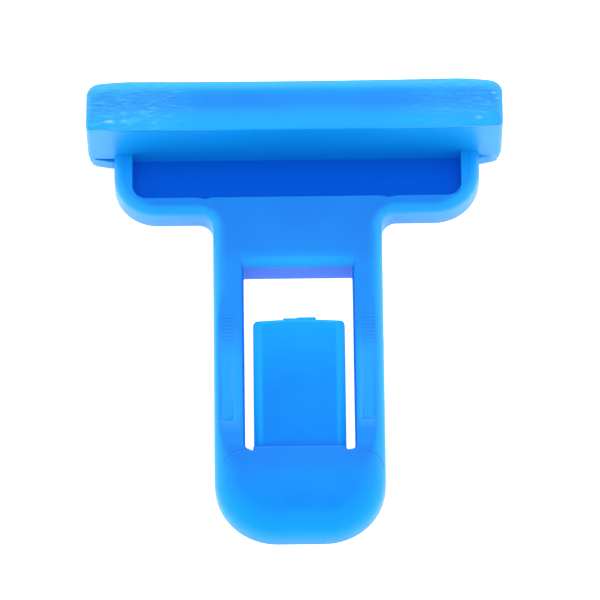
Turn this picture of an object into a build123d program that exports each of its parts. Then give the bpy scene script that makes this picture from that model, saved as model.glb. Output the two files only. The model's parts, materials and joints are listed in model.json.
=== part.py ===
from build123d import *
import os

# A one-piece moulded spring clip, lying on its back.
# +X runs along the crossbar, +Y from the thumb pad to the crossbar, +Z out of the front.
# The origin is the centre of the outline, on the back face. All sizes are in millimetres.

# Driving dimensions: the whole clip
overall_length = 50.7       # end of the thumb pad to the top of the crossbar
plate_thickness = 3.3       # pocket rim, stem and thumb pad

# Crossbar
bar_length = 45.0
bar_height = 5.95
bar_depth = 9.5
bar_end_draft = 0.35        # each end leans in by this much from front to back
bar_corner_radius = 1.2
bar_edge_radius = 0.8

# Pocket: a U-shaped rim with a floor behind it
yoke_width = 39.4
yoke_height = 7.15
rim_wall = 1.95
yoke_corner_radius = 3.8
pocket_floor_thickness = 1.4

# Stem: a web, then two legs on either side of the window
stem_width = 18.1
window_width = 11.7
web_height = 6.3
stem_fillet_radius = 1.55
outer_edge_radius = 0.45

# Ramped grooves in the front of the legs, deepest at the thumb pad's end
groove_depth = 0.8
groove_start = 13.1         # distance of the deep end from the end of the thumb pad
groove_length = 11.0
groove_width = 1.4

# Thumb pad
pad_length = 10.1
pad_corner_radius = 6.7
pad_edge_radius = 1.5

# Spring tongue, which bends where it grows out of the thumb pad and rises towards its tip
tongue_width = 9.9
tongue_thickness = 1.7
tongue_length = 14.8
tongue_rise_angle = 5       # degrees
tongue_root_drop = 1.2      # from the front of the thumb pad down to the front of the root
tongue_bevel_width = 0.95
tongue_bevel_drop = 0.4
tongue_root_length = 1.6
root_clearance = 0.07
gate_width = 2.2
gate_height = 0.3
gate_depth = 0.8

# Places worked out from the sizes above
pad_end = -overall_length / 2
bar_top = overall_length / 2
bar_underside = bar_top - bar_height
yoke_bottom = bar_underside - yoke_height
pocket_bottom = yoke_bottom + rim_wall
pocket_half_width = yoke_width / 2 - rim_wall
inner_corner_radius = yoke_corner_radius - rim_wall
rim_corner_x = yoke_width / 2 - yoke_corner_radius
rim_corner_y = yoke_bottom + yoke_corner_radius
web_bottom = yoke_bottom - web_height
stem_half_width = stem_width / 2
window_half_width = window_width / 2
leg_width = stem_half_width - window_half_width
leg_centre_x = window_half_width + leg_width / 2
pad_top = pad_end + pad_length
slot_width = window_half_width - tongue_width / 2
slot_centre_x = window_half_width - slot_width / 2
knuckle_radius = tongue_thickness / 2
hinge_z = plate_thickness - tongue_root_drop - knuckle_radius

# Plane across the tongue at its hinge: its normal runs along the blade, its +Y to the front
tongue_root_plane = Plane(
    origin=(0, pad_top, hinge_z),
    x_dir=(-1, 0, 0),
    z_dir=Vector(0, 1, 0).rotate(Axis.X, tongue_rise_angle),
)

os.makedirs("parts", exist_ok=True)


def save(piece, name):
    """Label a finished piece and write it as its own STEP file."""
    piece.part.label = name
    export_step(piece.part, f"parts/{name}.step")


# Crossbar: a deep block whose ends lean in slightly towards the back.
with BuildPart() as crossbar:
    half_front = bar_length / 2
    half_back = half_front - bar_end_draft
    with BuildSketch(Plane.XZ.offset(-bar_underside)):
        with BuildLine():
            Polyline(
                (-half_back, 0),
                (half_back, 0),
                (half_front, bar_depth),
                (-half_front, bar_depth),
                close=True,
            )
        make_face()
    extrude(amount=-bar_height)
    end_faces = crossbar.faces().sort_by(Axis.X)
    end_edges = end_faces[0].edges() + end_faces[-1].edges()
    fillet(end_edges.filter_by(Axis.Y, reverse=True), radius=bar_corner_radius)
    fillet(crossbar.faces().sort_by(Axis.Z)[-1].edges(), radius=bar_edge_radius)
save(crossbar, "crossbar")

# Pocket rim: a straight lower wall and, at each side, an arm that turns the corner.
with BuildPart() as lower_rim:
    with BuildSketch(Plane.XY):
        with Locations((0, yoke_bottom + rim_wall / 2)):
            Rectangle(2 * rim_corner_x, rim_wall)
    extrude(amount=plate_thickness)
save(lower_rim, "lower_rim")

with BuildPart() as right_rim_arm:
    with BuildSketch(Plane.XY):
        outer_x = yoke_width / 2
        corner = (rim_corner_x, rim_corner_y)
        with BuildLine():
            CenterArc(corner, yoke_corner_radius, 270, 90)
            Line((outer_x, rim_corner_y), (outer_x, bar_underside))
            Line((outer_x, bar_underside), (pocket_half_width, bar_underside))
            Line((pocket_half_width, bar_underside), (pocket_half_width, rim_corner_y))
            CenterArc(corner, inner_corner_radius, 0, -90)
            Line((rim_corner_x, pocket_bottom), (rim_corner_x, yoke_bottom))
        make_face()
    extrude(amount=plate_thickness)
save(right_rim_arm, "right_rim_arm")

with BuildPart() as left_rim_arm:
    mirror(right_rim_arm.part, about=Plane.YZ)
save(left_rim_arm, "left_rim_arm")

# Pocket floor: the thin wall behind the pocket, with the rim on three sides of it.
with BuildPart() as pocket_floor:
    with BuildSketch(Plane.XY):
        with Locations((0, (pocket_bottom + bar_underside) / 2)):
            pocket = Rectangle(2 * pocket_half_width, bar_underside - pocket_bottom)
        fillet(pocket.vertices().group_by(Axis.Y)[0], radius=inner_corner_radius)
    extrude(amount=pocket_floor_thickness)
save(pocket_floor, "pocket_floor")

# Stem web: joins the rim to the legs, and flares into the rim with a fillet at each side.
with BuildPart() as stem_web:
    with BuildSketch(Plane.XY):
        flare_x = stem_half_width + stem_fillet_radius
        flare_y = yoke_bottom - stem_fillet_radius
        with BuildLine() as web_half:
            Line((0, yoke_bottom), (flare_x, yoke_bottom))
            CenterArc((flare_x, flare_y), stem_fillet_radius, 90, 90)
            Line((stem_half_width, flare_y), (stem_half_width, web_bottom))
            Line((stem_half_width, web_bottom), (0, web_bottom))
            mirror(web_half.line, about=Plane.YZ)
        make_face()
    extrude(amount=plate_thickness)
save(stem_web, "stem_web")

# Legs: straight rails with a rounded outer front edge and a ramped groove in the front.
with BuildPart() as right_leg:
    with BuildSketch(Plane.XY):
        with Locations((leg_centre_x, (pad_top + web_bottom) / 2)):
            Rectangle(leg_width, web_bottom - pad_top)
    extrude(amount=plate_thickness)
    outer_edge = right_leg.edges().filter_by(Axis.Y).group_by(Axis.Z)[-1].sort_by(Axis.X)[-1]
    fillet(outer_edge, radius=outer_edge_radius)
    with BuildSketch(Plane.YZ.offset(leg_centre_x)):
        deep_end = pad_end + groove_start
        with BuildLine():
            Polyline(
                (deep_end, plate_thickness),
                (deep_end, plate_thickness - groove_depth),
                (deep_end + groove_length, plate_thickness),
                close=True,
            )
        make_face()
    extrude(amount=groove_width / 2, both=True, mode=Mode.SUBTRACT)
save(right_leg, "right_leg")

with BuildPart() as left_leg:
    mirror(right_leg.part, about=Plane.YZ)
save(left_leg, "left_leg")

# Thumb pad: rounded lower end with a rolled front edge. Its top edge holds the rounded
# ends of the two slots and, between them, the seat that the tongue's root turns in.
with BuildPart() as thumb_pad:
    with BuildSketch(Plane.XY):
        with Locations((0, (pad_end + pad_top) / 2)):
            outline = Rectangle(stem_width, pad_length)
        fillet(outline.vertices().group_by(Axis.Y)[0], radius=pad_corner_radius)
    extrude(amount=plate_thickness)
    front_rim = thumb_pad.faces().sort_by(Axis.Z)[-1].edges()
    fillet(front_rim.sort_by(Axis.Y)[:-1], radius=pad_edge_radius)
    with BuildSketch(Plane.XY):
        with Locations((-slot_centre_x, pad_top), (slot_centre_x, pad_top)):
            Circle(slot_width / 2)
    extrude(amount=plate_thickness, mode=Mode.SUBTRACT)
    with BuildSketch(Plane.YZ):
        with Locations((pad_top, hinge_z)):
            Circle(knuckle_radius + root_clearance)
    extrude(amount=slot_centre_x, both=True, mode=Mode.SUBTRACT)
save(thumb_pad, "thumb_pad")

# Tongue root: the round knuckle that stands for the bending strip, and the first of the blade.
with BuildPart() as tongue_root:
    with BuildSketch(Plane.YZ):
        with Locations((pad_top, hinge_z)):
            Circle(knuckle_radius)
    extrude(amount=tongue_width / 2, both=True)
    with BuildSketch(tongue_root_plane):
        Rectangle(tongue_width, tongue_thickness)
    extrude(amount=tongue_root_length)
save(tongue_root, "tongue_root")

# Spring tongue: a flat blade with long bevels on its front edges.
with BuildPart() as spring_tongue:
    with BuildSketch(tongue_root_plane.offset(tongue_root_length)):
        half_width = tongue_width / 2
        half_thickness = tongue_thickness / 2
        with BuildLine() as blade_half:
            Polyline(
                (0, -half_thickness),
                (half_width, -half_thickness),
                (half_width, half_thickness - tongue_bevel_drop),
                (half_width - tongue_bevel_width, half_thickness),
                (0, half_thickness),
            )
            mirror(blade_half.line, about=Plane.YZ)
        make_face()
    extrude(amount=tongue_length - tongue_root_length)
save(spring_tongue, "spring_tongue")

# Gate stub: the low remnant of the moulding gate, on the tongue's tip.
with BuildPart() as gate_stub:
    with BuildSketch(tongue_root_plane.offset(tongue_length)):
        RectangleRounded(gate_width, gate_depth, gate_depth / 4)
    extrude(amount=gate_height)
save(gate_stub, "gate_stub")
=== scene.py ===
"""A moulded polypropylene spring clip: a T-shaped plate with a deep crossbar and a springy tongue."""

import json
import math

import bmesh
import bpy
from mathutils import Matrix, Vector
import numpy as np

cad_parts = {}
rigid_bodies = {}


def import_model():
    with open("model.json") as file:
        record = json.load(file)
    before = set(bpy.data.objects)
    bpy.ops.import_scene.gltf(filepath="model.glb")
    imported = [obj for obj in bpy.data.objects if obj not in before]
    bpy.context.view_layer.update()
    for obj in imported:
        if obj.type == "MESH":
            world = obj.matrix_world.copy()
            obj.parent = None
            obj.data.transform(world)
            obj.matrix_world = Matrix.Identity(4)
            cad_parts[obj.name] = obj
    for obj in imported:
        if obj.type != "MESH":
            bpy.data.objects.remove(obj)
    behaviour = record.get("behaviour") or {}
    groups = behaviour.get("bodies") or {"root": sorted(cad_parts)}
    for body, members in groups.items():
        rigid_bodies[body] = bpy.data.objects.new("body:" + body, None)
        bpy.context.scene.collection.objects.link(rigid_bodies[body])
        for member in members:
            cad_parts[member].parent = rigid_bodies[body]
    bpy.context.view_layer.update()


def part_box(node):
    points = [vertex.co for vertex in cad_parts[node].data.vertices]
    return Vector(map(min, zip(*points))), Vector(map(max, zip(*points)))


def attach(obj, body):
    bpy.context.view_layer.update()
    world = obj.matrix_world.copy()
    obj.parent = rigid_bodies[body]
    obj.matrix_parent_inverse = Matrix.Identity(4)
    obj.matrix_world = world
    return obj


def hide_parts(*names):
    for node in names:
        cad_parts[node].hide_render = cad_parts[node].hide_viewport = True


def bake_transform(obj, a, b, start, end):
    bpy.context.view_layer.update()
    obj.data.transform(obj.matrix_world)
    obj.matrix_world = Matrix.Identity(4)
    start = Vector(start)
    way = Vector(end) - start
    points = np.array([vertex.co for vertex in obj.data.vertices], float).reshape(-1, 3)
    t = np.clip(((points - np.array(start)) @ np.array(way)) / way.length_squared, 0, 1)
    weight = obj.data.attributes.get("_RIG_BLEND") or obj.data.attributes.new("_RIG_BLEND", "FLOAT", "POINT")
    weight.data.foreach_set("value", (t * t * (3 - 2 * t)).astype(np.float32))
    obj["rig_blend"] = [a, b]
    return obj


for left_over in list(bpy.data.objects):
    bpy.data.objects.remove(left_over)

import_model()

bl_info = {
    "name": "Moulded Spring Clip",
    "version": (1, 0, 0),
    "blender": (4, 5, 0),
    "location": "3D View > Sidebar > Spring Clip",
    "description": "Builds a one-piece moulded polypropylene spring clip around its CAD frame",
    "category": "Add Mesh",
}

MM = 0.001
# The vertex tone of painted light: above 0 a painted highlight on edges, below 0 a painted shade.
TONE = "painted_light_tone"
SMOOTH = {"interpolation_type": "SMOOTHSTEP"}

BAR_LOW, BAR_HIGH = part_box("crossbar")
POCKET_LOW, POCKET_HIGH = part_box("pocket_floor")
LEG_LOW, LEG_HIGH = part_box("right_leg")
PAD_LOW, PAD_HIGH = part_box("thumb_pad")
RIM_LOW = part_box("lower_rim")[0]
ARM_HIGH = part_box("right_rim_arm")[1]
WEB_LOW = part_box("stem_web")[0]
TONGUE_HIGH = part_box("spring_tongue")[1]
PLATE = LEG_HIGH.z
HINGE_Y = PAD_HIGH.y


# ---------------------------------------------------------------- properties


def linear_colour(hex_code):
    """An sRGB hex colour as linear red, green, blue."""
    channels = [int(hex_code[i : i + 2], 16) / 255 for i in (1, 3, 5)]
    return tuple(c / 12.92 if c <= 0.04045 else ((c + 0.055) / 1.055) ** 2.4 for c in channels)


def length_property(name, description, millimetres):
    """A length that is shown in the scene's units."""
    return bpy.props.FloatProperty(
        name=name, description=description, default=millimetres * MM, unit="LENGTH", precision=5
    )


def angle_property(name, description, degrees):
    """An angle that is shown in degrees."""
    return bpy.props.FloatProperty(
        name=name, description=description, default=math.radians(degrees), subtype="ANGLE"
    )


def colour_property(name, description, hex_code):
    """A colour that is kept linear."""
    return bpy.props.FloatVectorProperty(
        name=name,
        description=description,
        default=linear_colour(hex_code),
        subtype="COLOR",
        size=3,
        min=0,
        max=1,
    )


class ClipBodySizes(bpy.types.PropertyGroup):
    """Edges and small shapes of the T-shaped plate."""

    yoke_corner: length_property("Yoke corner", "Radius of the yoke's outer corners", 5.0)
    stem_fillet: length_property("Stem fillet", "Radius where the stem leaves the yoke", 1.6)
    pad_corner: length_property("Pad corner", "Radius of the thumb pad's corners", 6.7)
    pocket_corner: length_property("Pocket corner", "Radius of the pocket's lower corners", 1.5)
    pocket_edge: length_property("Pocket edge", "Roll of the pocket's crisp edge", 0.14)
    shift: length_property("Shift", "How far the plate sits to the right of the crossbar's middle", 0.19)
    yoke_extra: length_property("Yoke extra", "How much wider each side of the yoke is than its frame", 0.06)
    stem_extra: length_property("Stem extra", "How much wider each side of the stem is than its frame", 0.07)
    edge_width: length_property("Edge width", "How far the outer edge's roll reaches in", 0.95)
    edge_drop: length_property("Edge drop", "How deep the outer edge's roll is", 0.8)
    pad_side: length_property("Pad side width", "How far the roll reaches in at the pad's sides", 1.4)
    pad_width: length_property("Pad edge width", "How far the roll reaches in at the pad's end", 2.0)
    pad_drop: length_property("Pad edge drop", "How deep the roll is at the pad's end", 2.15)
    back_edge: length_property("Back edge", "Roll of the edges on the flat back", 0.16)
    web_width: length_property("Web edge width", "Roll of the web's lower edge", 1.1)
    web_drop: length_property("Web edge drop", "Depth of the web's lower roll", 0.3)
    window_edge: length_property("Window edge", "Roll of the window's long edges", 0.2)
    left_edge: length_property("Left leg's edge", "How far the roll reaches in on the left leg", 0.58)
    right_edge: length_property("Right leg's edge", "How far the roll reaches in on the right leg", 0.9)
    window_gap: length_property("Window gap", "How far the window's top lies below the web's frame", 0.12)
    dip_depth: length_property("Dip depth", "How far the pocket's two small dips sink into the rim", 0.22)
    dip_width: length_property("Dip width", "Half the width of each dip", 0.5)
    dip_place: length_property("Dip place", "From the middle to each dip", 9.95)
    groove_depth: length_property("Groove depth", "Depth of a leg's ramped groove at its lower end", 0.4)
    left_groove: length_property("Left groove", "From the middle to the left groove's outer side", 8.4)
    right_groove: length_property("Right groove", "From the middle to the right groove's outer side", 8.05)
    groove_width: length_property("Groove width", "Width of a leg's groove", 1.32)
    groove_side: length_property("Groove side", "How far the groove's soft side spreads", 0.26)
    groove_start: length_property("Groove start", "From the pad's end to the groove's deep end", 13.1)
    groove_length: length_property("Groove length", "Length of the groove's ramp", 11.0)


class ClipBarSizes(bpy.types.PropertyGroup):
    """Edges of the deep crossbar."""

    end_draft: length_property("End draft", "How much each end tapers to the back", 0.08)
    corner: length_property("Corner", "Radius of the crossbar's corners", 1.2)
    corner_drop: length_property("Corner drop", "How far the top has sunk at the other end", 0.55)
    worn_corner: length_property("Worn corner", "Radius of the corner that has worn away", 1.35)
    low_corner: length_property("Low corner", "Radius of the lower corners", 0.55)
    end_rise: length_property("End rise", "How far the underside slopes up at each end", 0.12)
    parting_gap: length_property("Parting gap", "Height of the parting line's groove on the worn end", 0.34)
    parting_depth: length_property("Parting depth", "Depth of the parting line's groove", 0.5)
    parting_cut: length_property("Parting cut", "How far the lower corners are cut back below the line", 0.4)
    parting_step: length_property("Parting step", "How far the ends stand out below the parting line", 0.22)
    parting_height: length_property("Parting height", "Height of the parting line on the worn end", 2.2)
    worn_rise: length_property("Worn rise", "How far the worn end of the top has sunk", 0.4)
    top_bow: length_property("Top bow", "How far the top edge sags in the middle", 0.13)
    back_edge: length_property("Back edge", "Roll of the edges on the flat back", 0.35)
    edge: length_property("Edge", "Small radius round the front face", 0.3)
    edge_turn: angle_property("Edge turn", "How far the small radius turns", 75)
    top_band: length_property("Top band", "Width of the sloping band along the top", 1.2)
    bottom_band: length_property("Bottom band", "Width of the sloping band along the bottom", 1.5)
    end_band: length_property("End band", "Width of the sloping band at the ends", 0.7)
    band_drop: length_property("Band drop", "How far the bands fall away", 0.3)
    sink: length_property("Sink", "Depth of the sink along the middle of the front", 0.06)


class ClipTongueSizes(bpy.types.PropertyGroup):
    """Shape of the springy tongue."""

    rise: angle_property("Rise", "Angle of the tongue above the plate", 5)
    front: length_property("Front", "Height of the tongue's face at the hinge", 2.1)
    thickness: length_property("Thickness", "Thickness of the tongue", 1.7)
    length: length_property("Length", "Hinge to tip", 14.95)
    buried: length_property("Buried", "How far the root runs into the pad", 0.8)
    bevel_width: length_property("Bevel width", "Width of the strip along each long edge", 0.95)
    bevel_drop: length_property("Bevel drop", "How far the strips fall away", 0.42)
    tip_drop: length_property("Tip drop", "How far the tip's small roll falls away", 0.12)
    side_gap: length_property("Side gap", "How much narrower each side is than its frame", 0.03)
    shift: length_property("Shift", "How far the tongue sits to the right of the crossbar's middle", 0.23)
    tip_bow: length_property("Tip bow", "How far the tip curves out in the middle", 0.2)
    tip_corner: length_property("Tip corner", "Radius of the tip's corners", 0.4)
    gate_width: length_property("Gate width", "Width of the gate's broken vestige", 3.9)
    gate_height: length_property("Gate height", "How far the vestige stands from the tip", 0.42)
    gate_thickness: length_property("Gate thickness", "Thickness of the vestige", 0.35)


class ClipFinish(bpy.types.PropertyGroup):
    """Colours and gloss of the polypropylene, and the blues of its painted highlight and painted shade."""

    blue: colour_property("Blue", "Pigment of the polypropylene", "#0086E8")
    deep_blue: colour_property("Deep blue", "The darker clouds in the pigment", "#0080E5")
    # Painted highlight: the paler blue painted on rolled edges, rims and the tongue's tip.
    painted_highlight_blue: colour_property("Edge blue", "The paler tone of thin edges", "#05A2F2")
    # Painted shade: the deeper blue painted in the pocket, on undersides, the web, the pad's foot, the
    # tongue's root and the witness lines.
    painted_shade_blue: colour_property("Shade blue", "The deeper tone of the pocket's thin floor", "#005FD6")
    scuff_blue: colour_property("Scuff blue", "Stress-whitened scuffs", "#3EC2F2")
    nick_white: colour_property("Nick white", "Tiny bruised nicks", "#8CD8FA")
    roughness: bpy.props.FloatProperty(
        name="Roughness",
        description="Gloss of the mould's finish",
        default=0.36,
        min=0,
        max=1,
        subtype="FACTOR",
    )
    floor: colour_property("Floor", "The pale floor", "#F4F4F4")


# ---------------------------------------------------------------- mesh helpers


def smooth_step(value, low, high):
    """0 below low, 1 above high and a smooth curve between."""
    t = min(max((value - low) / (high - low), 0), 1)
    return t * t * (3 - 2 * t)


def edges_of(verts):
    """The edges at these vertices, each once and in the vertices' order, which a set wouldn't keep."""
    return list(dict.fromkeys(e for v in verts for e in v.link_edges))


def quarter_round(turns, first=1):
    """A quarter-round's steps: the share that is turned, and how far it has come out and has yet to rise."""
    for turn in range(first, turns + 1):
        angle = turn / turns * math.pi / 2
        yield turn / turns, 1 - math.cos(angle), 1 - math.sin(angle)


class Ring:
    """A closed row of edges with rounded corners. It is extruded again and again, each time offset
    inwards from its first outline, so that an edge's roll can change its width along the way."""

    def __init__(self, bm, corners, height, spacing=0.5 * MM, segments=10):
        self.bm = bm
        self.tone = bm.verts.layers.float[TONE]
        there = set(bm.verts)
        verts = [bm.verts.new((x, y, height)) for x, y, _ in corners]
        for a, b in zip(verts, verts[1:] + verts[:1]):
            bm.edges.new((a, b))
        for vert, (_, _, radius) in zip(verts, corners):
            if radius:
                bmesh.ops.bevel(
                    bm,
                    geom=[vert],
                    offset=radius,
                    offset_type="OFFSET",
                    affect="VERTICES",
                    segments=segments,
                    profile=0.5,
                    material=-1,
                    clamp_overlap=False,
                )
        for edge in self.edges_apart_from(there):
            self.divide(edge, spacing)
        self.verts = self.in_order(self.edges_apart_from(there))
        self.points = [v.co.copy() for v in self.verts]
        pairs = zip(self.points[-1:] + self.points[:-1], self.points, self.points[1:] + self.points[:1])
        along = [((b - a).normalized() + (c - b).normalized()).normalized() for a, b, c in pairs]
        self.inward = [Vector((-t.y, t.x, 0)) for t in along]

    def edges_apart_from(self, there):
        """The edges that this ring has added."""
        return edges_of(v for v in self.bm.verts if v not in there)

    @staticmethod
    def divide(edge, spacing):
        """Cuts an edge into equal lengths, none longer than the spacing."""
        near, far = edge.verts
        for left in range(int(edge.calc_length() / spacing), 0, -1):
            added, near = bmesh.utils.edge_split(edge, near, 1 / (left + 1))
            edge = added if far in added.verts else edge

    @staticmethod
    def in_order(edges):
        """The ring's vertices one after another, anticlockwise from above."""
        order = list(edges[0].verts)
        while True:
            here, before = order[-1], order[-2]
            after = next(e.other_vert(here) for e in here.link_edges if e.other_vert(here) != before)
            if after == order[0]:
                break
            order.append(after)
        pairs = zip(order, order[1:] + order[:1])
        area = sum(a.co.x * b.co.y - b.co.x * a.co.y for a, b in pairs)
        return order if area > 0 else order[::-1]

    def edges(self):
        """The edges of the ring's last turn."""
        return [self.bm.edges.get(pair) for pair in zip(self.verts, self.verts[1:] + self.verts[:1])]

    def place(self, shift, height, tone=0.0):
        """Sets the last turn: its shift from the outline, its height and its tone of painted light. Each is
        a value or a function of the outline's point and its inward way."""
        for vert, point, inward in zip(self.verts, self.points, self.inward):
            vert.co = point + shift(point, inward)
            vert.co.z = height(point, inward) if callable(height) else height
            vert[self.tone] = tone(point, inward) if callable(tone) else tone

    def extrude(self, shift, height, tone=0.0):
        """Adds one more turn."""
        made = bmesh.ops.extrude_edge_only(self.bm, edges=self.edges())["geom"]
        fresh = {part for part in made if isinstance(part, bmesh.types.BMVert)}
        self.verts = [
            next(e.other_vert(v) for e in v.link_edges if e.other_vert(v) in fresh) for v in self.verts
        ]
        self.place(shift, height, tone)


def inwards(width):
    """A shift at right angles to the outline, by one width or by a width that changes along it."""
    if callable(width):
        return lambda point, inward: inward * width(point, inward)
    return lambda point, inward: inward * width


def shrunk(pivot, across, along):
    """A shift that shrinks the outline about a pivot, which keeps its small corners whole."""
    return lambda point, inward: Vector(((pivot[0] - point.x) * across, (pivot[1] - point.y) * along, 0))


def roll_in(ring, width, drop, top, tone, flat_tone, turns=8):
    """A quarter-round from a wall over to a flat face: width and drop say how large it is at each point,
    and its tone eases from the wall's to the flat's."""
    for share, out, short in quarter_round(turns):
        ring.extrude(
            inwards(lambda p, n: width(p, n) * out),
            lambda p, n: top - drop(p, n) * short,
            lambda p, n: tone(p, n) + (flat_tone(p, n) - tone(p, n)) * share**3,
        )


def roll_out(ring, width, drop, top, tone, turns=5):
    """A quarter-round from a flat face down into an opening."""
    for _, out, short in reversed(list(quarter_round(turns, 0))):
        ring.extrude(inwards(lambda p, n: -width(p, n) * out), lambda p, n: top - drop(p, n) * short, tone)


def roll_floor(ring, radius, floor, tone):
    """A small fillet from an opening's wall on to its floor."""
    for _, out, short in quarter_round(4):
        ring.extrude(inwards(radius * out), floor + radius * short, tone)


def new_bmesh():
    """An empty bmesh whose vertices carry a tone of painted light: 1 for a painted highlight on the edges, 0
    on flats, -1 for painted shade.
    """
    bm = bmesh.new()
    bm.verts.layers.float.new(TONE)
    return bm


def finished(bm, name, body, *nodes, smooth_angle=50):
    """The bmesh as an object in the row frame, which stands for its CAD nodes. It rides on its body, if it
    has one; the tongue, which bends, has none."""
    bmesh.ops.remove_doubles(bm, verts=bm.verts, dist=0.002 * MM)
    bmesh.ops.recalc_face_normals(bm, faces=bm.faces)
    for face in bm.faces:
        face.smooth = True
    for edge in bm.edges:
        edge.smooth = len(edge.link_faces) == 2 and edge.calc_face_angle(0) < math.radians(smooth_angle)
    open_edges = [e for e in bm.edges if len(e.link_faces) != 2]
    if open_edges:
        raise RuntimeError(f"{name} has {len(open_edges)} open edges")
    mesh = bpy.data.meshes.new(name)
    bm.to_mesh(mesh)
    bm.free()
    piece = bpy.data.objects.new(name, mesh)
    bpy.context.scene.collection.objects.link(piece)
    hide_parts(*nodes)
    if body:
        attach(piece, body)
    return piece


# ---------------------------------------------------------------- materials


def add_node(tree, kind, inputs=(), output=0, **settings):
    """One shader node with its settings. Its inputs are a row, in the order that the node shows them, or are
    given by name; a socket is linked and a value is set. Returns the output of this place or name."""
    node = tree.nodes.new("ShaderNode" + kind)
    for key, value in settings.items():
        setattr(node, key, value)
    shown = [socket for socket in node.inputs if socket.enabled]
    pairs = inputs.items() if isinstance(inputs, dict) else enumerate(inputs)
    for key, value in pairs:
        socket = node.inputs[key] if isinstance(key, str) else shown[key]
        if isinstance(value, bpy.types.NodeSocket):
            tree.links.new(value, socket)
        else:
            socket.default_value = value
    if isinstance(output, str):
        return node.outputs[output]
    return [socket for socket in node.outputs if socket.enabled][output]


def per(millimetres):
    """The texture scale whose features are this many millimetres apart."""
    return 1 / (millimetres * MM)


def shader_of(name):
    """A new material, its tree, its Principled shader and its Object coordinates."""
    material = bpy.data.materials.new(name)
    material.use_nodes = True
    tree = material.node_tree
    return material, tree, tree.nodes["Principled BSDF"], add_node(tree, "TexCoord", output="Object")


def opaque(colour):
    """A colour with full alpha."""
    return (*colour, 1)


def overlap(tree, *masks):
    """Where all the masks hold: their product."""
    share = masks[0]
    for mask in masks[1:]:
        share = add_node(tree, "Math", (share, mask), operation="MULTIPLY")
    return share


def stretch(tree, place, *ends):
    """A mask along a line. Each end says, in mm, where it starts to show and where it is full."""
    fades = (add_node(tree, "MapRange", (place, a * MM, b * MM), **SMOOTH) for a, b in ends)
    return overlap(tree, *fades)


def away(tree, value, middle):
    """How far a value is from a middle one, on either side."""
    offset = add_node(tree, "Math", (value, middle), operation="SUBTRACT")
    return add_node(tree, "Math", (offset,), operation="ABSOLUTE")


def polypropylene(name, finish, glare=None):
    """Injection-moulded polypropylene: an even, waxy blue with a satin gloss from the tool's polish. Slow
    clouds come from the flow of the melt. The vertex tone paints a paler blue on edges and rims, a painted
    highlight, and a deeper blue in the pocket and on undersides, a painted shade. A glare given here is the
    same all over. Also returns the tree, shader, place, colour and bump, for marks to be added."""
    material, tree, shader, where = shader_of(name)
    # The melt's flow leaves clouds about 5 mm across.
    melt = {"Vector": where, "Scale": per(5.0), "Detail": 3.0, "Roughness": 0.55}
    cloud = add_node(tree, "MapRange", (add_node(tree, "TexNoise", melt), 0.3, 0.7), **SMOOTH)
    blues = (cloud, opaque(finish.deep_blue), opaque(finish.blue))
    colour = add_node(tree, "Mix", blues, data_type="RGBA")
    tone = add_node(tree, "Attribute", output="Fac", attribute_name=TONE)
    # The tone's upper side mixes in the painted highlight blue, and its lower side the painted shade blue.
    pale = add_node(tree, "Math", (tone, 0.0), operation="MAXIMUM")
    deep = overlap(tree, add_node(tree, "Math", (tone, 0.0), operation="MINIMUM"), -1.0)
    colour = add_node(tree, "Mix", (pale, colour, opaque(finish.painted_highlight_blue)), data_type="RGBA")
    colour = add_node(tree, "Mix", (deep, colour, opaque(finish.painted_shade_blue)), data_type="RGBA")
    # The tool's texture is about 0.35 mm across, and its polish wanders over 2.2 mm.
    grain = add_node(tree, "TexNoise", {"Vector": where, "Scale": per(0.35), "Detail": 2.0})
    waves = add_node(tree, "TexNoise", {"Vector": where, "Scale": per(2.2), "Detail": 1.0})
    glossy, dull = finish.roughness - 0.04, finish.roughness + 0.05
    gloss = add_node(tree, "MapRange", (grain, 0.3, 0.7, glossy, dull))
    bump = add_node(tree, "Bump", {"Height": grain, "Distance": 0.004 * MM})
    bump = add_node(tree, "Bump", {"Height": waves, "Distance": 0.02 * MM, "Normal": bump})
    tree.links.new(colour, shader.inputs["Base Color"])
    tree.links.new(gloss, shader.inputs["Roughness"])
    tree.links.new(bump, shader.inputs["Normal"])
    shader.inputs["IOR"].default_value = 1.49
    level = shader.inputs["Specular IOR Level"]
    if glare is None:
        # Deep places see less of the tent and give less glare.
        tree.links.new(add_node(tree, "MapRange", (deep, 0.0, 1.0, 0.43, 0.1)), level)
    else:
        level.default_value = glare
    return material, tree, shader, where, colour, bump


def witness_arc(tree, where, centre, radius, side, low):
    """1 on a thin arc, whose sizes are in mm, and 0 elsewhere. It lies on one side of its centre, and its
    lower end is this much above the centre."""
    middle = (centre[0] * MM, centre[1] * MM, 0)
    offset = add_node(tree, "VectorMath", (where, middle), operation="SUBTRACT")
    flat = add_node(tree, "VectorMath", (offset, (1, 1, 0)), operation="MULTIPLY")
    reach = add_node(tree, "VectorMath", (flat,), operation="LENGTH")
    out = overlap(tree, add_node(tree, "SeparateXYZ", (offset,), output="X"), side)
    up = add_node(tree, "SeparateXYZ", (offset,), output="Y")
    return overlap(
        tree,
        stretch(tree, away(tree, reach, radius * MM), (0.13, 0.0)),
        stretch(tree, out, (-0.3, 0.3)),
        stretch(tree, up, (low, low + 0.6)),
    )


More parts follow.
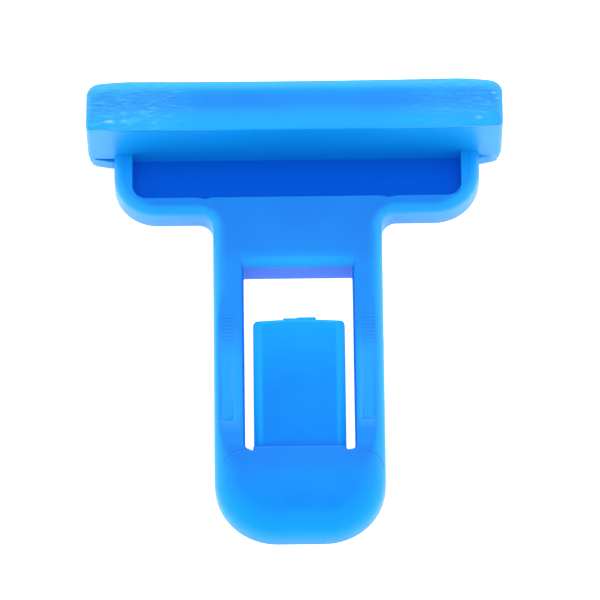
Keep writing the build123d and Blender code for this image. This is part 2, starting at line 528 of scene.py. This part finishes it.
def witness_lines(tree, where, shift):
    """The thin arcs that the mould's inserts leave on the pad and where the stem meets the yoke, and fine
    chatter lines, 0.42 mm apart, across the legs where the grooves run out."""
    hinge, rim = HINGE_Y / MM, RIM_LOW.y / MM
    # Each arc: centre and radius in mm, its side, where it ends and how strongly it shows.
    arcs = (
        ((6.8, hinge - 2.95), 2.33, 1, 0.2, 0.7),
        ((-5.4, hinge - 3.35), 2.95, -1, 1.3, 0.7),
        ((7.1, rim - 1.25), 2.9, 1, 0.9, 0.3),
        ((-6.9, rim - 1.05), 2.9, -1, 0.9, 0.3),
    )
    across = away(tree, add_node(tree, "SeparateXYZ", (where,), output="X"), shift)
    along = add_node(tree, "SeparateXYZ", (where,), output="Y")
    wave = add_node(tree, "Math", (overlap(tree, along, 2 * math.pi * per(0.42)),), operation="SINE")
    crests = add_node(tree, "MapRange", (wave, 0.55, 1.0), **SMOOTH)
    legs = stretch(tree, across, (6.6, 7.0), (8.5, 8.1))
    run_out = stretch(tree, along, (-4.0, -2.6), (0.4, -0.1))
    lines = overlap(tree, crests, legs, run_out, 0.6)
    for centre, radius, side, low, strength in arcs:
        arc = overlap(tree, witness_arc(tree, where, centre, radius, side, low), strength)
        lines = add_node(tree, "Math", (lines, arc), operation="ADD")
    return lines


def plate_polypropylene(finish, shift):
    """The plate's polypropylene, with the witness lines that the mould's inserts and the melt leave."""
    material, tree, shader, where, colour, bump = polypropylene("moulded_polypropylene", finish)
    along = add_node(tree, "SeparateXYZ", (where,), output="Y")
    hinge, low, rim = HINGE_Y / MM, WEB_LOW.y / MM, RIM_LOW.y / MM
    # The web and the foot of the pad's slope get a painted shade, a little deeper, apart from their pale
    # edges.
    web = stretch(tree, along, (low - 0.45, low + 2.55), (rim + 3.25, rim - 0.25))
    foot = stretch(tree, along, (hinge - 3.75, hinge - 1.25), (hinge + 0.35, hinge - 0.15))
    tone = add_node(tree, "Attribute", output="Fac", attribute_name=TONE)
    flat = add_node(tree, "Math", (1.0, overlap(tree, tone, 1.6)), operation="SUBTRACT", use_clamp=True)
    painted_web_shade = overlap(tree, add_node(tree, "Math", (web, foot), operation="MAXIMUM"), 0.28, flat)
    colour = add_node(tree, "Mix", (painted_web_shade, colour, opaque(finish.painted_shade_blue)), data_type="RGBA")
    lines = witness_lines(tree, where, shift)
    # The lines are darkened with painted shade, as well as a small bump.
    dark = add_node(tree, "Math", (lines, 0.8), operation="MULTIPLY", use_clamp=True)
    colour = add_node(tree, "Mix", (dark, colour, opaque(finish.painted_shade_blue)), data_type="RGBA")
    bump = add_node(tree, "Bump", {"Height": lines, "Distance": -0.03 * MM, "Normal": bump})
    tree.links.new(colour, shader.inputs["Base Color"])
    tree.links.new(bump, shader.inputs["Normal"])
    # Thumbs have dulled the pad's end.
    dulled = add_node(tree, "MapRange", (along, HINGE_Y - 0.75 * MM, HINGE_Y - 6.75 * MM, 1.0, 0.45))
    level = shader.inputs["Specular IOR Level"]
    tree.links.new(overlap(tree, level.links[0].from_socket, dulled), level)
    return material


def scuffed_polypropylene(finish):
    """The crossbar's polypropylene. Its front is scuffed towards the ends from rubbing in a bag with others:
    short slanting wrinkles, a little stress-whitened, and a few small white nicks."""
    material, tree, shader, where, colour, bump = polypropylene("scuffed_polypropylene", finish)
    across = add_node(tree, "SeparateXYZ", (where,), output="X")
    left = stretch(tree, across, (-9.0, -16.0))
    right = overlap(tree, stretch(tree, across, (9.0, 17.0)), 0.6)
    top = BAR_HIGH.z / MM
    front = stretch(tree, add_node(tree, "SeparateXYZ", (where,), output="Z"), (top - 0.7, top - 0.3))
    worn = overlap(tree, add_node(tree, "Math", (left, right), operation="ADD"), front)
    # Wrinkles about 1.5 mm long and 0.4 mm apart, rising 10 degrees.
    turn, scale = (0, 0, math.radians(10)), (per(1.5), per(0.4), per(1.5))
    slanted = add_node(tree, "Mapping", {"Vector": where, "Rotation": turn, "Scale": scale})
    crumple = {"Vector": slanted, "Scale": 1.0, "Detail": 3.0, "Roughness": 0.6, "Distortion": 0.9}
    wrinkles = add_node(tree, "TexNoise", crumple)
    creases = add_node(tree, "MapRange", (wrinkles, 0.5, 0.68, 0.16, 0.54), **SMOOTH)
    white = add_node(tree, "Math", (creases, worn), operation="MULTIPLY", use_clamp=True)
    colour = add_node(tree, "Mix", (white, colour, opaque(finish.scuff_blue)), data_type="RGBA")
    high = overlap(tree, wrinkles, worn)
    bump = add_node(tree, "Bump", {"Height": high, "Distance": 0.24 * MM, "Normal": bump})
    # Each nick: its place and its size, in mm. The wrinkles make its outline ragged.
    nicks = (
        (-19.9, 20.35, 0.4),
        (-18.3, 20.4, 0.35),
        (19.9, 20.4, 0.35),
        (21.5, 23.3, 0.25),
        (22.0, 22.7, 0.2),
    )
    ragged = overlap(tree, wrinkles, 0.9 * MM)
    for x, y, size in nicks:
        middle = (x * MM, y * MM, BAR_HIGH.z)
        offset = add_node(tree, "VectorMath", (where, middle), operation="SUBTRACT")
        oval = add_node(tree, "VectorMath", (offset, (0.6, 1.6, 0.5)), operation="MULTIPLY")
        reach = add_node(tree, "VectorMath", (oval,), operation="LENGTH")
        reach = add_node(tree, "Math", (reach, ragged), operation="ADD")
        nick = stretch(tree, reach, (size + 0.5, size + 0.1))
        bruise = (overlap(tree, nick, 0.6), colour, opaque(finish.nick_white))
        colour = add_node(tree, "Mix", bruise, data_type="RGBA")
        bump = add_node(tree, "Bump", {"Height": nick, "Distance": -0.02 * MM, "Normal": bump})
    tree.links.new(colour, shader.inputs["Base Color"])
    tree.links.new(bump, shader.inputs["Normal"])
    return material


def tongue_polypropylene(finish):
    """The tongue's polypropylene. Its insert in the mould is less polished, so its face gives less glare
    than the plate's. Its tip is painted paler, a painted highlight, and its root deeper, a painted shade."""
    material, tree, shader, where, colour, _ = polypropylene("tongue_polypropylene", finish, glare=0.2)
    hinge = HINGE_Y / MM
    along = add_node(tree, "SeparateXYZ", (where,), output="Y")
    # The paler tip is a painted highlight, and the deeper root and crease are painted shade.
    thin = overlap(tree, stretch(tree, along, (hinge + 6.0, hinge + 16.0)), 0.6)
    root = overlap(tree, stretch(tree, along, (hinge + 6.0, hinge)), 0.15)
    crease = overlap(tree, stretch(tree, along, (hinge + 1.3, hinge + 0.1)), 0.5)
    deep = add_node(tree, "Math", (root, crease), operation="ADD")
    colour = add_node(tree, "Mix", (thin, colour, opaque(finish.painted_highlight_blue)), data_type="RGBA")
    colour = add_node(tree, "Mix", (deep, colour, opaque(finish.painted_shade_blue)), data_type="RGBA")
    tree.links.new(colour, shader.inputs["Base Color"])
    return material


# ---------------------------------------------------------------- pieces


class CLIP_OT_body(bpy.types.Operator):
    """Moulds the T-shaped plate: yoke with its pocket, stem with its window, grooved legs and thumb pad"""

    bl_idname = "clip.body"
    bl_label = "Mould the plate"

    def execute(self, context):
        sizes = context.scene.clip_body
        bm = new_bmesh()
        outline, back = self.outline(bm, sizes)
        pocket = self.pocket(bm, sizes)
        window = self.window(bm, sizes)
        grooves = [self.groove(bm, sizes, side) for side in (-1, 1)]
        front = outline + pocket + window[0] + [e for g in grooves for e in g]
        bmesh.ops.triangle_fill(bm, use_beauty=True, edges=front, normal=(0, 0, 1))
        bmesh.ops.triangle_fill(bm, use_beauty=True, edges=back + window[1], normal=(0, 0, -1))
        bmesh.ops.translate(bm, vec=(sizes.shift, 0, 0), verts=bm.verts)
        nodes = (
            "lower_rim",
            "left_rim_arm",
            "right_rim_arm",
            "pocket_floor",
            "stem_web",
            "left_leg",
            "right_leg",
            "thumb_pad",
        )
        piece = finished(bm, "body_moulding", "frame", *nodes)
        piece.data.materials.append(plate_polypropylene(context.scene.clip_finish, sizes.shift))
        return {"FINISHED"}

    def outline(self, bm, sizes):
        """The outer wall from the back to the front face. Its top edge is hidden inside the crossbar."""
        hidden = 2.7 * MM
        top = BAR_LOW.y + hidden
        yoke, stem = ARM_HIGH.x + sizes.yoke_extra, LEG_HIGH.x + sizes.stem_extra
        # One corner of the yoke and one of the pad are a little tighter than the other.
        left_less, right_less = 0.3 * MM, 0.1 * MM
        corners = [
            (yoke, top, 0),
            (-yoke, top, 0),
            (-yoke, RIM_LOW.y, sizes.yoke_corner - left_less),
            (-stem, RIM_LOW.y, sizes.stem_fillet),
            (-stem, PAD_LOW.y, sizes.pad_corner),
            (stem, PAD_LOW.y, sizes.pad_corner - right_less),
            (stem, RIM_LOW.y, sizes.stem_fillet),
            (yoke, RIM_LOW.y, sizes.yoke_corner),
        ]
        ring = Ring(bm, corners, 0, segments=16)

        def width(point, inward):
            leg = smooth_step(-point.y, -4 * MM, 1 * MM)
            side = smooth_step(-point.y, 12 * MM, 19 * MM)
            end = smooth_step(-point.y, 18 * MM, 23 * MM)
            beside = sizes.left_edge if point.x < 0 else sizes.right_edge
            start = sizes.edge_width + (beside - sizes.edge_width) * leg
            return start + (sizes.pad_side - start) * side + (sizes.pad_width - sizes.pad_side) * end

        def drop(point, inward):
            end = smooth_step(-point.y, 14 * MM, 23 * MM)
            return sizes.edge_drop + (sizes.pad_drop - sizes.edge_drop) * end

        def reach(point, inward):
            """How far the painted highlight fades in from the roll: far on the pad, hardly at all beside a
            groove.
            """
            pad = smooth_step(-point.y, 14 * MM, 18 * MM)
            above = smooth_step(point.y, 1 * MM, 4 * MM)
            rim = smooth_step(point.y, 10 * MM, 12 * MM)
            return 0.03 * MM + 1.3 * MM * pad + 0.7 * MM * above - 0.5 * MM * rim

        # Painted highlight along the outer roll.
        def pale(point, inward):
            return 1 - 0.1 * smooth_step(-point.y, 14 * MM, 20 * MM)

        def flat_pale(point, inward):
            """The painted highlight at the roll's inner side: the narrow rim arms are painted pale all over.
            """
            arm = smooth_step(abs(point.x), 15 * MM, 18 * MM)
            return 0.35 + 0.35 * arm

        def past(share):
            return inwards(lambda p, n: width(p, n) + reach(p, n) * share)

        # The back edge's roll and the wall carry a painted highlight.
        edge = sizes.back_edge
        ring.place(inwards(edge * 1.4), 0)
        back = ring.edges()
        ring.extrude(inwards(edge), 0)
        for _, out, short in quarter_round(4):
            ring.extrude(inwards(edge * short), edge * out, 0.4)
        ring.extrude(inwards(0), lambda p, n: PLATE - drop(p, n), 0.7)
        roll_in(ring, width, drop, PLATE, pale, flat_pale)
        ring.extrude(past(0.4), PLATE, lambda p, n: flat_pale(p, n) * 0.5)
        ring.extrude(past(1.0), PLATE, lambda p, n: max(0, flat_pale(p, n) - 0.35) * 1.6)
        return ring.edges(), back

    def pocket(self, bm, sizes):
        """The shallow pocket between the yoke's rim and the crossbar. Its top edge is hidden too."""
        hidden = 0.8 * MM
        half, top, edge = POCKET_HIGH.x, BAR_LOW.y + hidden, sizes.pocket_edge
        corners = [
            (half, top, 0),
            (-half, top, 0),
            (-half, POCKET_LOW.y, sizes.pocket_corner),
            (half, POCKET_LOW.y, sizes.pocket_corner),
        ]
        ring = Ring(bm, corners, PLATE)
        for point in ring.points:
            if point.y < POCKET_LOW.y + 0.1 * MM:
                # Flow of the melt has left two small dips where the stem meets the rim.
                dip = math.exp(-(((abs(point.x) - sizes.dip_place) / sizes.dip_width) ** 2))
                point.y -= sizes.dip_depth * dip

        # A painted highlight along the pocket's edge, strongest on its sides.
        def rim(point, inward):
            return 0.05 + 0.5 * inward.x**2

        ring.place(inwards(-edge - 0.08 * MM), PLATE, rim)
        front = ring.edges()
        roll_out(ring, lambda p, n: edge, lambda p, n: edge, PLATE, rim)
        floor = POCKET_HIGH.z
        # The pocket's wall and floor are painted in deep shade, where the crossbar shades them.
        ring.extrude(inwards(0), PLATE - edge * 2.5, -1.0)
        ring.extrude(inwards(0), floor + edge, -1.0)
        roll_floor(ring, edge, floor, -1.0)
        bmesh.ops.contextual_create(bm, geom=ring.edges())
        return front

    def window(self, bm, sizes):
        """The window with the two slots beside the tongue. The slots' bottoms slant, as the real ones do."""
        half, tongue = LEG_LOW.x, TONGUE_HIGH.x
        top = WEB_LOW.y - sizes.window_gap
        corners = [
            (half, top, 0.2 * MM),
            (-half, top, 0.2 * MM),
            (-half + 0.03 * MM, HINGE_Y - 0.1 * MM, 0.3 * MM),
            (-tongue - 0.03 * MM, HINGE_Y - 0.5 * MM, 0.15 * MM),
            (-tongue + 0.02 * MM, HINGE_Y, 0),
            (tongue - 0.02 * MM, HINGE_Y, 0),
            (tongue + 0.03 * MM, HINGE_Y - 0.45 * MM, 0.2 * MM),
            (half + 0.05 * MM, HINGE_Y - 0.33 * MM, 0.3 * MM),
        ]
        ring = Ring(bm, corners, PLATE, segments=6)

        def web_share(point, inward):
            return max(0, -inward.y) ** 2 if point.y > 0 else 0

        def width(point, inward):
            return sizes.window_edge + (sizes.web_width - sizes.window_edge) * web_share(point, inward)

        def drop(point, inward):
            return sizes.window_edge + (sizes.web_drop - sizes.window_edge) * web_share(point, inward)

        def lip_share(point):
            return smooth_step(-point.y, 2 * MM, 6 * MM) * smooth_step(point.y, -13 * MM, -11 * MM)

        def past(lip, web):
            """Outside the roll, by these amounts beside the lips and along the web."""
            return inwards(
                lambda p, n: -width(p, n) - 0.01 * MM - lip * MM * lip_share(p) - web * MM * web_share(p, n)
            )

        def rim(share, beside):
            """A painted highlight along the web, most in its middle, and on the lips beside the grooves."""

            def tone(point, inward):
                lip = lip_share(point)
                web = web_share(point, inward) * (1 - 0.6 * (point.x / half) ** 2)
                return share * web + beside * lip * (1 - web)

            return tone

        ring.place(past(0.24, 1.0), PLATE, rim(0.1, 0.5))
        front = ring.edges()
        ring.extrude(past(0.12, 0.4), PLATE, rim(0.25, 0.6))
        ring.extrude(past(0.02, 0.05), PLATE, rim(0.5, 0.1))
        # The web's roll gets a painted highlight and the slots' rolls a painted shade.
        roll_out(ring, width, drop, PLATE, lambda p, n: rim(0.8, 0)(p, n) - 0.9 * n.x**2)
        # The web's underside and the slots' walls get a painted shade, a little deeper.
        ring.extrude(inwards(0), PLATE - 0.5 * MM, lambda p, n: -0.65 * web_share(p, n) - 0.45 * n.x**2)
        edge = sizes.back_edge * 0.6
        for _, out, short in reversed(list(quarter_round(4, 0))):
            ring.extrude(inwards(-edge * short), edge * out, lambda p, n: -0.65 * web_share(p, n))
        ring.extrude(inwards(-edge * 1.4), 0)
        return front, ring.edges()

    def groove(self, bm, sizes, side):
        """One leg's ramped groove, deep and crisp at its lower end and running out to nothing above."""
        outer = side * (sizes.left_groove if side < 0 else sizes.right_groove)
        inner = outer - side * sizes.groove_width
        low = PAD_LOW.y + sizes.groove_start
        high = low + sizes.groove_length
        left, right = min(outer, inner), max(outer, inner)
        corners = [
            (right, high, 0.4 * MM),
            (left, high, 0.4 * MM),
            (left, low, 0.2 * MM),
            (right, low, 0.2 * MM),
        ]
        ring = Ring(bm, corners, PLATE, segments=5)

        def ramp(point):
            return min(max((high - point.y) / sizes.groove_length, 0), 1)

        def depth(share):
            return lambda p, n: PLATE - sizes.groove_depth * ramp(p) * share

        def spread(share):
            """The inner side is soft, and the outer side and the lower end are crisp."""

            def width(point, inward):
                crisp = max(0, inward.y, -inward.x * side)
                return sizes.groove_side * share * (1 - 0.7 * crisp)

            return inwards(width)

        def tone(share):
            """A painted highlight inside and on the lips beside it, and no paler than the leg where it runs
            out.
            """
            return lambda p, n: share * min(1, 3 * ramp(p)) * (1 - 0.6 * max(0, n.y))

        ring.place(spread(-1.0), PLATE, tone(0.6))
        front = ring.edges()
        # Each turn: its share of the side's width and of the depth.
        for out, down in ((-0.65, 0.04), (-0.3, 0.16), (0.1, 0.42), (0.5, 0.75), (0.8, 0.93), (1.1, 1.0)):
            ring.extrude(spread(out), depth(down), tone(0.6))
        bmesh.ops.triangle_fill(bm, use_beauty=True, edges=ring.edges(), normal=(0, 0, 1))
        return front


class CLIP_OT_crossbar(bpy.types.Operator):
    """Moulds the deep crossbar, with its drafted ends, soft front bands and worn corner"""

    bl_idname = "clip.crossbar"
    bl_label = "Mould the crossbar"

    def execute(self, context):
        sizes = context.scene.clip_bar
        bm = new_bmesh()
        top, bottom, half, front = BAR_HIGH.y, BAR_LOW.y, BAR_HIGH.x, BAR_HIGH.z
        tall = top - bottom
        # The long edges are straight up to the ends, which start here.
        end, worn_end = half - 3.0 * MM, half - 3.4 * MM
        corners = [
            (half, top - sizes.corner_drop, sizes.corner),
            (end, top, 2.5 * MM),
            (-worn_end, top, 2.0 * MM),
            (-half + 0.08 * MM, top - sizes.worn_rise, sizes.worn_corner),
            (-half, bottom + sizes.end_rise, sizes.low_corner),
            (-end, bottom, 1.0 * MM),
            (end, bottom, 1.0 * MM),
            (half, bottom + sizes.end_rise, sizes.low_corner),
        ]
        ring = Ring(bm, corners, 0, segments=12)
        for point in ring.points:
            if point.y > top - 0.05 * MM:
                point.y -= sizes.top_bow * max(0, 1 - (point.x / (0.8 * half)) ** 2)
        pivot = (0, top - tall * sizes.top_band / (sizes.top_band + sizes.bottom_band))

        def clear_end(point, sides):
            """1 where the underside's ends hang clear of the yoke, on the worn side or on both."""
            out = abs(point.x) if sides == 2 else -point.x
            return smooth_step(out, half - 3.3 * MM, half - 2.9 * MM)

        def below_line(out, groove=0.0, cut=sizes.parting_cut):
            """Below the parting line the underside's ends stand out, with a groove on the worn side, and
            their corners are cut back."""

            def width(point, inward):
                fall = 1 - 1.3 * smooth_step(abs(point.x), half - 2.8 * MM, half - 0.3 * MM)
                deep = groove * clear_end(point, 1) - out * clear_end(point, 2) * fall
                low = smooth_step(-point.y, -bottom - 1.4 * MM, -bottom - 0.1 * MM)
                corner = cut * low * smooth_step(abs(point.x), half - 0.8 * MM, half - 0.1 * MM)
                return deep * max(0, inward.y) + corner

            return width

        def taper(height, inset=lambda p, n: 0.0):
            """The ends' draft at this height, with any inset of its own."""
            draft = sizes.end_draft * (1 - height / front)
            return inwards(lambda p, n: inset(p, n) + draft * abs(n.x) ** 3)

        def band(share):
            """The sloping bands, whose widths differ along the top, the bottom and the ends."""
            both = sizes.top_band + sizes.bottom_band
            return shrunk(pivot, share * sizes.end_band / half, share * both / tall)

        def pale(share):
            """A painted highlight all round the front's edge, fading over the bands to the middle."""
            return lambda p, n: share * (0.55 + 0.45 * n.y**2)

        def under(point, inward):
            """A painted light on the underside, a little paler, most where its ends hang clear of the yoke
            and a painted reflection of the pale floor shows.
            """
            clear = smooth_step(abs(point.x), half - 3.2 * MM, half - 2.4 * MM)
            return max(0, inward.y) * (0.85 + 0.1 * clear)

        back = sizes.back_edge
        step = below_line(sizes.parting_step)
        ring.place(inwards(lambda p, n: back + 0.1 * MM + step(p, n)), 0)
        back_edges = ring.edges()
        for _, out, short in quarter_round(4, 0):
            inset = taper(back * out, lambda p, n: back * short + step(p, n))
            ring.extrude(inset, back * out, lambda p, n: 0.5 * under(p, n))
        wall_top = front - sizes.band_drop - sizes.edge * math.sin(sizes.edge_turn)

        def groove_tone(point, inward):
            """Painted shade deep in the parting line's groove, and the underside's painted light elsewhere.
            """
            groove = clear_end(point, 1)
            return under(point, inward) * (1 - groove) - groove * max(0, inward.y)

        line, gap, deep = sizes.parting_height, sizes.parting_gap, sizes.parting_depth
        ring.extrude(taper(line - gap, step), line - gap, under)
        ring.extrude(taper(line, below_line(0, deep)), line - gap * 0.8, groove_tone)
        ring.extrude(taper(line, below_line(0, deep, 0)), line - gap * 0.2, groove_tone)
        ring.extrude(taper(line), line, under)
        for height in (4.5 * MM, 6.5 * MM, wall_top):
            ring.extrude(taper(height), height, under)
        for turn in range(1, 6):
            angle = turn / 5 * sizes.edge_turn
            height = wall_top + sizes.edge * math.sin(angle)
            ring.extrude(inwards(sizes.edge * (1 - math.cos(angle))), height, pale(1.0))
        over = sizes.edge * (1 - math.cos(sizes.edge_turn)) / sizes.bottom_band
        # Each turn: its share of the band's width, its rise and how strong its painted highlight is; then how
        # far it has sunk.
        bands = ((0.4, 0.4, 1.0), (0.65, 0.7, 0.95), (0.85, 0.9, 0.85), (1.0, 0.98, 0.72), (1.12, 1.0, 0.6))
        for share, rise, tone in bands:
            ring.extrude(band(max(share, over)), front - sizes.band_drop * (1 - rise), pale(tone))
        middle = ((1.3, 0.1, 0.4), (1.55, 0.55, 0.2), (1.8, 1.0, 0.06), (2.0, 0.8, 0.0))
        for share, sunk, tone in middle:
            ring.extrude(band(share), front - sizes.sink * sunk, pale(tone))
        bmesh.ops.contextual_create(bm, geom=ring.edges())
        bmesh.ops.triangle_fill(bm, use_beauty=True, edges=back_edges, normal=(0, 0, -1))
        piece = finished(bm, "crossbar_moulding", "frame", "crossbar")
        piece.data.materials.append(scuffed_polypropylene(context.scene.clip_finish))
        return {"FINISHED"}


class CLIP_OT_tongue(bpy.types.Operator):
    """Moulds the springy tongue, which bends where it leaves the thumb pad, and its gate vestige"""

    bl_idname = "clip.tongue"
    bl_label = "Mould the tongue"

    def execute(self, context):
        sizes = context.scene.clip_tongue
        bm = new_bmesh()
        half, tip, root = TONGUE_HIGH.x - sizes.side_gap, sizes.length, -sizes.buried
        corners = [
            (half, tip - sizes.tip_bow, sizes.tip_corner),
            (-half, tip - sizes.tip_bow, sizes.tip_corner),
            (-half, root, 0),
            (half, root, 0),
        ]
        ring = Ring(bm, corners, 0, segments=6)
        for point in ring.points:
            if point.y > tip - sizes.tip_bow - 0.05 * MM:
                point.y += sizes.tip_bow * (1 - (point.x / half) ** 2)

        def strip(share):
            """The strips take the sides in by their width and the tip by a hair."""
            return shrunk((0, root), share * sizes.bevel_width / half, share * 0.02)

        def fall(share):
            """The strips fall away; the tip has only a small roll."""
            more = sizes.bevel_drop - sizes.tip_drop
            return lambda p, n: sizes.thickness - (sizes.tip_drop + more * n.x**2) * share

        def face_tone(point, inward):
            """A painted highlight at the tip."""
            return 0.3 * smooth_step(point.y, tip - 1 * MM, tip)

        ring.place(inwards(0.3 * MM), 0)
        back = ring.edges()
        # The back roll and the strips carry a painted highlight.
        for inset, height in ((0.2, 0), (0.08, 0.03), (0.0, 0.15)):
            ring.extrude(inwards(inset * MM), height * MM, 0.3)
        for share, drop in ((0.0, 1.25), (0.04, 1.07), (0.12, 0.95), (0.5, 0.5), (0.88, 0.08)):
            ring.extrude(strip(share), fall(drop), 1.0)
        ring.extrude(strip(1.0), fall(0.01), lambda p, n: 0.4 + 0.6 * face_tone(p, n))
        ring.extrude(strip(1.2), fall(0.0), face_tone)
        bmesh.ops.triangle_fill(bm, use_beauty=True, edges=ring.edges(), normal=(0, 0, 1))
        bmesh.ops.triangle_fill(bm, use_beauty=True, edges=back, normal=(0, 0, -1))
        self.gate(bm, sizes)
        place = Matrix.Translation((sizes.shift, HINGE_Y, sizes.front - sizes.thickness))
        lift = place @ Matrix.Rotation(sizes.rise, 4, "X")
        bmesh.ops.transform(bm, matrix=lift, verts=bm.verts)
        piece = finished(bm, "tongue_moulding", None, "tongue_root", "spring_tongue", "gate_stub")
        piece.data.materials.append(tongue_polypropylene(context.scene.clip_finish))
        start = (0, HINGE_Y - 0.3 * MM, sizes.front)
        end = (0, HINGE_Y + 1.2 * MM, sizes.front)
        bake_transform(piece, "frame", "tongue", start=start, end=end)
        return {"FINISHED"}

    def gate(self, bm, sizes):
        """The thin broken vestige of the gate on the tip, in two bits a little off the middle."""
        tone = bm.verts.layers.float[TONE]
        # Each bit: its middle and its width as shares of the gate's width, and its share of the height.
        for middle, width, high in ((-0.06, 0.86, 0.75), (0.2, 0.62, 1.0)):
            made = bmesh.ops.create_cube(bm, size=1)["verts"]
            middle *= sizes.gate_width
            size = (sizes.gate_width * width, sizes.gate_height * 2 * high, sizes.gate_thickness, 1)
            height = sizes.thickness - (0.4 + 0.12 * high) * MM
            place = Matrix.Translation((middle, sizes.length - 0.06 * MM, height))
            bmesh.ops.transform(bm, matrix=place @ Matrix.Diagonal(size), verts=made)
            for vert in made:
                # The vestige is painted at the palest tone.
                vert[tone] = 1.6
                if vert.co.y > sizes.length:
                    vert.co.x += (middle - vert.co.x) * 0.15
            bmesh.ops.bevel(
                bm,
                geom=edges_of(made),
                offset=0.08 * MM,
                affect="EDGES",
                segments=2,
                profile=0.5,
                material=-1,
            )


# ---------------------------------------------------------------- stage


class CLIP_OT_stage(bpy.types.Operator):
    """Lays a pale floor, lights it softly and looks down at the clip from its lower end"""

    bl_idname = "clip.stage"
    bl_label = "Set the stage"

    def execute(self, context):
        finish = context.scene.clip_finish
        self.floor(context, finish)
        self.light(context)
        self.camera(context)
        return {"FINISHED"}

    def floor(self, context, finish):
        """A large pale light table, just under the clip's back."""
        bm = bmesh.new()
        bmesh.ops.create_grid(bm, x_segments=1, y_segments=1, size=1.5)
        gap = 0.02 * MM
        bmesh.ops.translate(bm, vec=(0, 0, -gap), verts=bm.verts)
        mesh = bpy.data.meshes.new("floor")
        bm.to_mesh(mesh)
        bm.free()
        floor = bpy.data.objects.new("floor", mesh)
        context.scene.collection.objects.link(floor)
        material, _, shader, _ = shader_of("white_light_table")
        # Opal acrylic, lit from below: matt, with no pattern of its own.
        shader.inputs["Base Color"].default_value = opaque(finish.floor)
        shader.inputs["Roughness"].default_value = 0.9
        shader.inputs["Specular IOR Level"].default_value = 0.0
        shader.inputs["Emission Color"].default_value = (1, 1, 1, 1)
        shader.inputs["Emission Strength"].default_value = 0.8
        mesh.materials.append(material)

    def light(self, context):
        """A soft tent: dim straight overhead, bright round the sides and brightest beyond the crossbar."""
        world = bpy.data.worlds.new("soft_tent")
        world.use_nodes = True
        tree = world.node_tree
        shader = tree.nodes["Background"]
        way = add_node(tree, "TexCoord", output="Generated")
        ahead, up = (add_node(tree, "SeparateXYZ", (way,), output=axis) for axis in "YZ")
        overhead = add_node(tree, "MapRange", (up, 0.98, 0.62, 0.03, 1.28), **SMOOTH)
        beyond = add_node(tree, "MapRange", (ahead, -1.0, 1.0, 0.5, 1.4))
        tree.links.new(overlap(tree, overhead, beyond), shader.inputs["Strength"])
        shader.inputs["Color"].default_value = (1, 1, 1, 1)
        context.scene.world = world
        context.scene.view_settings.view_transform = "Standard"
        # A broad overhead fill, which lights the plastic evenly but gives it no glare.
        fill = bpy.data.lights.new("overhead_fill", "AREA")
        fill.shape = "DISK"
        fill.size = 1.0
        fill.energy = 5.0
        lamp = bpy.data.objects.new("overhead_fill", fill)
        lamp.location = (0, 0, 0.9)
        lamp.visible_camera = False
        lamp.visible_glossy = False
        context.scene.collection.objects.link(lamp)

    def camera(self, context):
        """A long lens, 65 degrees up, turned a little so that the crossbar tips up to the right."""
        rise, distance, roll = math.radians(65), 0.8, math.radians(0.67)
        ahead = Vector((0, math.cos(rise), -math.sin(rise)))
        level, upright = Vector((1, 0, 0)), Vector((0, math.sin(rise), math.cos(rise)))
        right = level * math.cos(roll) - upright * math.sin(roll)
        up = level * math.sin(roll) + upright * math.cos(roll)
        middle, aside, above = Vector((0, 0.45 * MM, 3.0 * MM)), 0.364 * MM, 1.34 * MM
        target = middle + right * aside + up * above
        data = bpy.data.cameras.new("camera")
        data.sensor_width = 36
        data.lens = 447.8
        data.clip_start = 0.01
        camera = bpy.data.objects.new("camera", data)
        turn = Matrix((right, up, -ahead)).transposed().to_4x4()
        camera.matrix_world = Matrix.Translation(target - ahead * distance) @ turn
        context.scene.collection.objects.link(camera)
        context.scene.camera = camera


# ---------------------------------------------------------------- add-on


class CLIP_PT_panel(bpy.types.Panel):
    """The clip's pieces, one button each"""

    bl_idname = "CLIP_PT_panel"
    bl_label = "Spring Clip"
    bl_space_type = "VIEW_3D"
    bl_region_type = "UI"
    bl_category = "Spring Clip"

    def draw(self, context):
        for operator in OPERATORS:
            self.layout.operator(operator.bl_idname)
        for group in GROUPS:
            box = self.layout.box()
            box.label(text=group.__doc__)
            for key in group.__annotations__:
                box.prop(getattr(context.scene, GROUPS[group]), key)


GROUPS = {
    ClipBodySizes: "clip_body",
    ClipBarSizes: "clip_bar",
    ClipTongueSizes: "clip_tongue",
    ClipFinish: "clip_finish",
}
OPERATORS = (CLIP_OT_body, CLIP_OT_crossbar, CLIP_OT_tongue, CLIP_OT_stage)


def register():
    for group, name in GROUPS.items():
        bpy.utils.register_class(group)
        setattr(bpy.types.Scene, name, bpy.props.PointerProperty(type=group))
    for part in (*OPERATORS, CLIP_PT_panel):
        bpy.utils.register_class(part)


def unregister():
    for part in (CLIP_PT_panel, *reversed(OPERATORS)):
        bpy.utils.unregister_class(part)
    for group, name in GROUPS.items():
        delattr(bpy.types.Scene, name)
        bpy.utils.unregister_class(group)


def main():
    register()
    bpy.ops.clip.body()
    bpy.ops.clip.crossbar()
    bpy.ops.clip.tongue()
    bpy.ops.clip.stage()


if __name__ == "__main__":
    main()
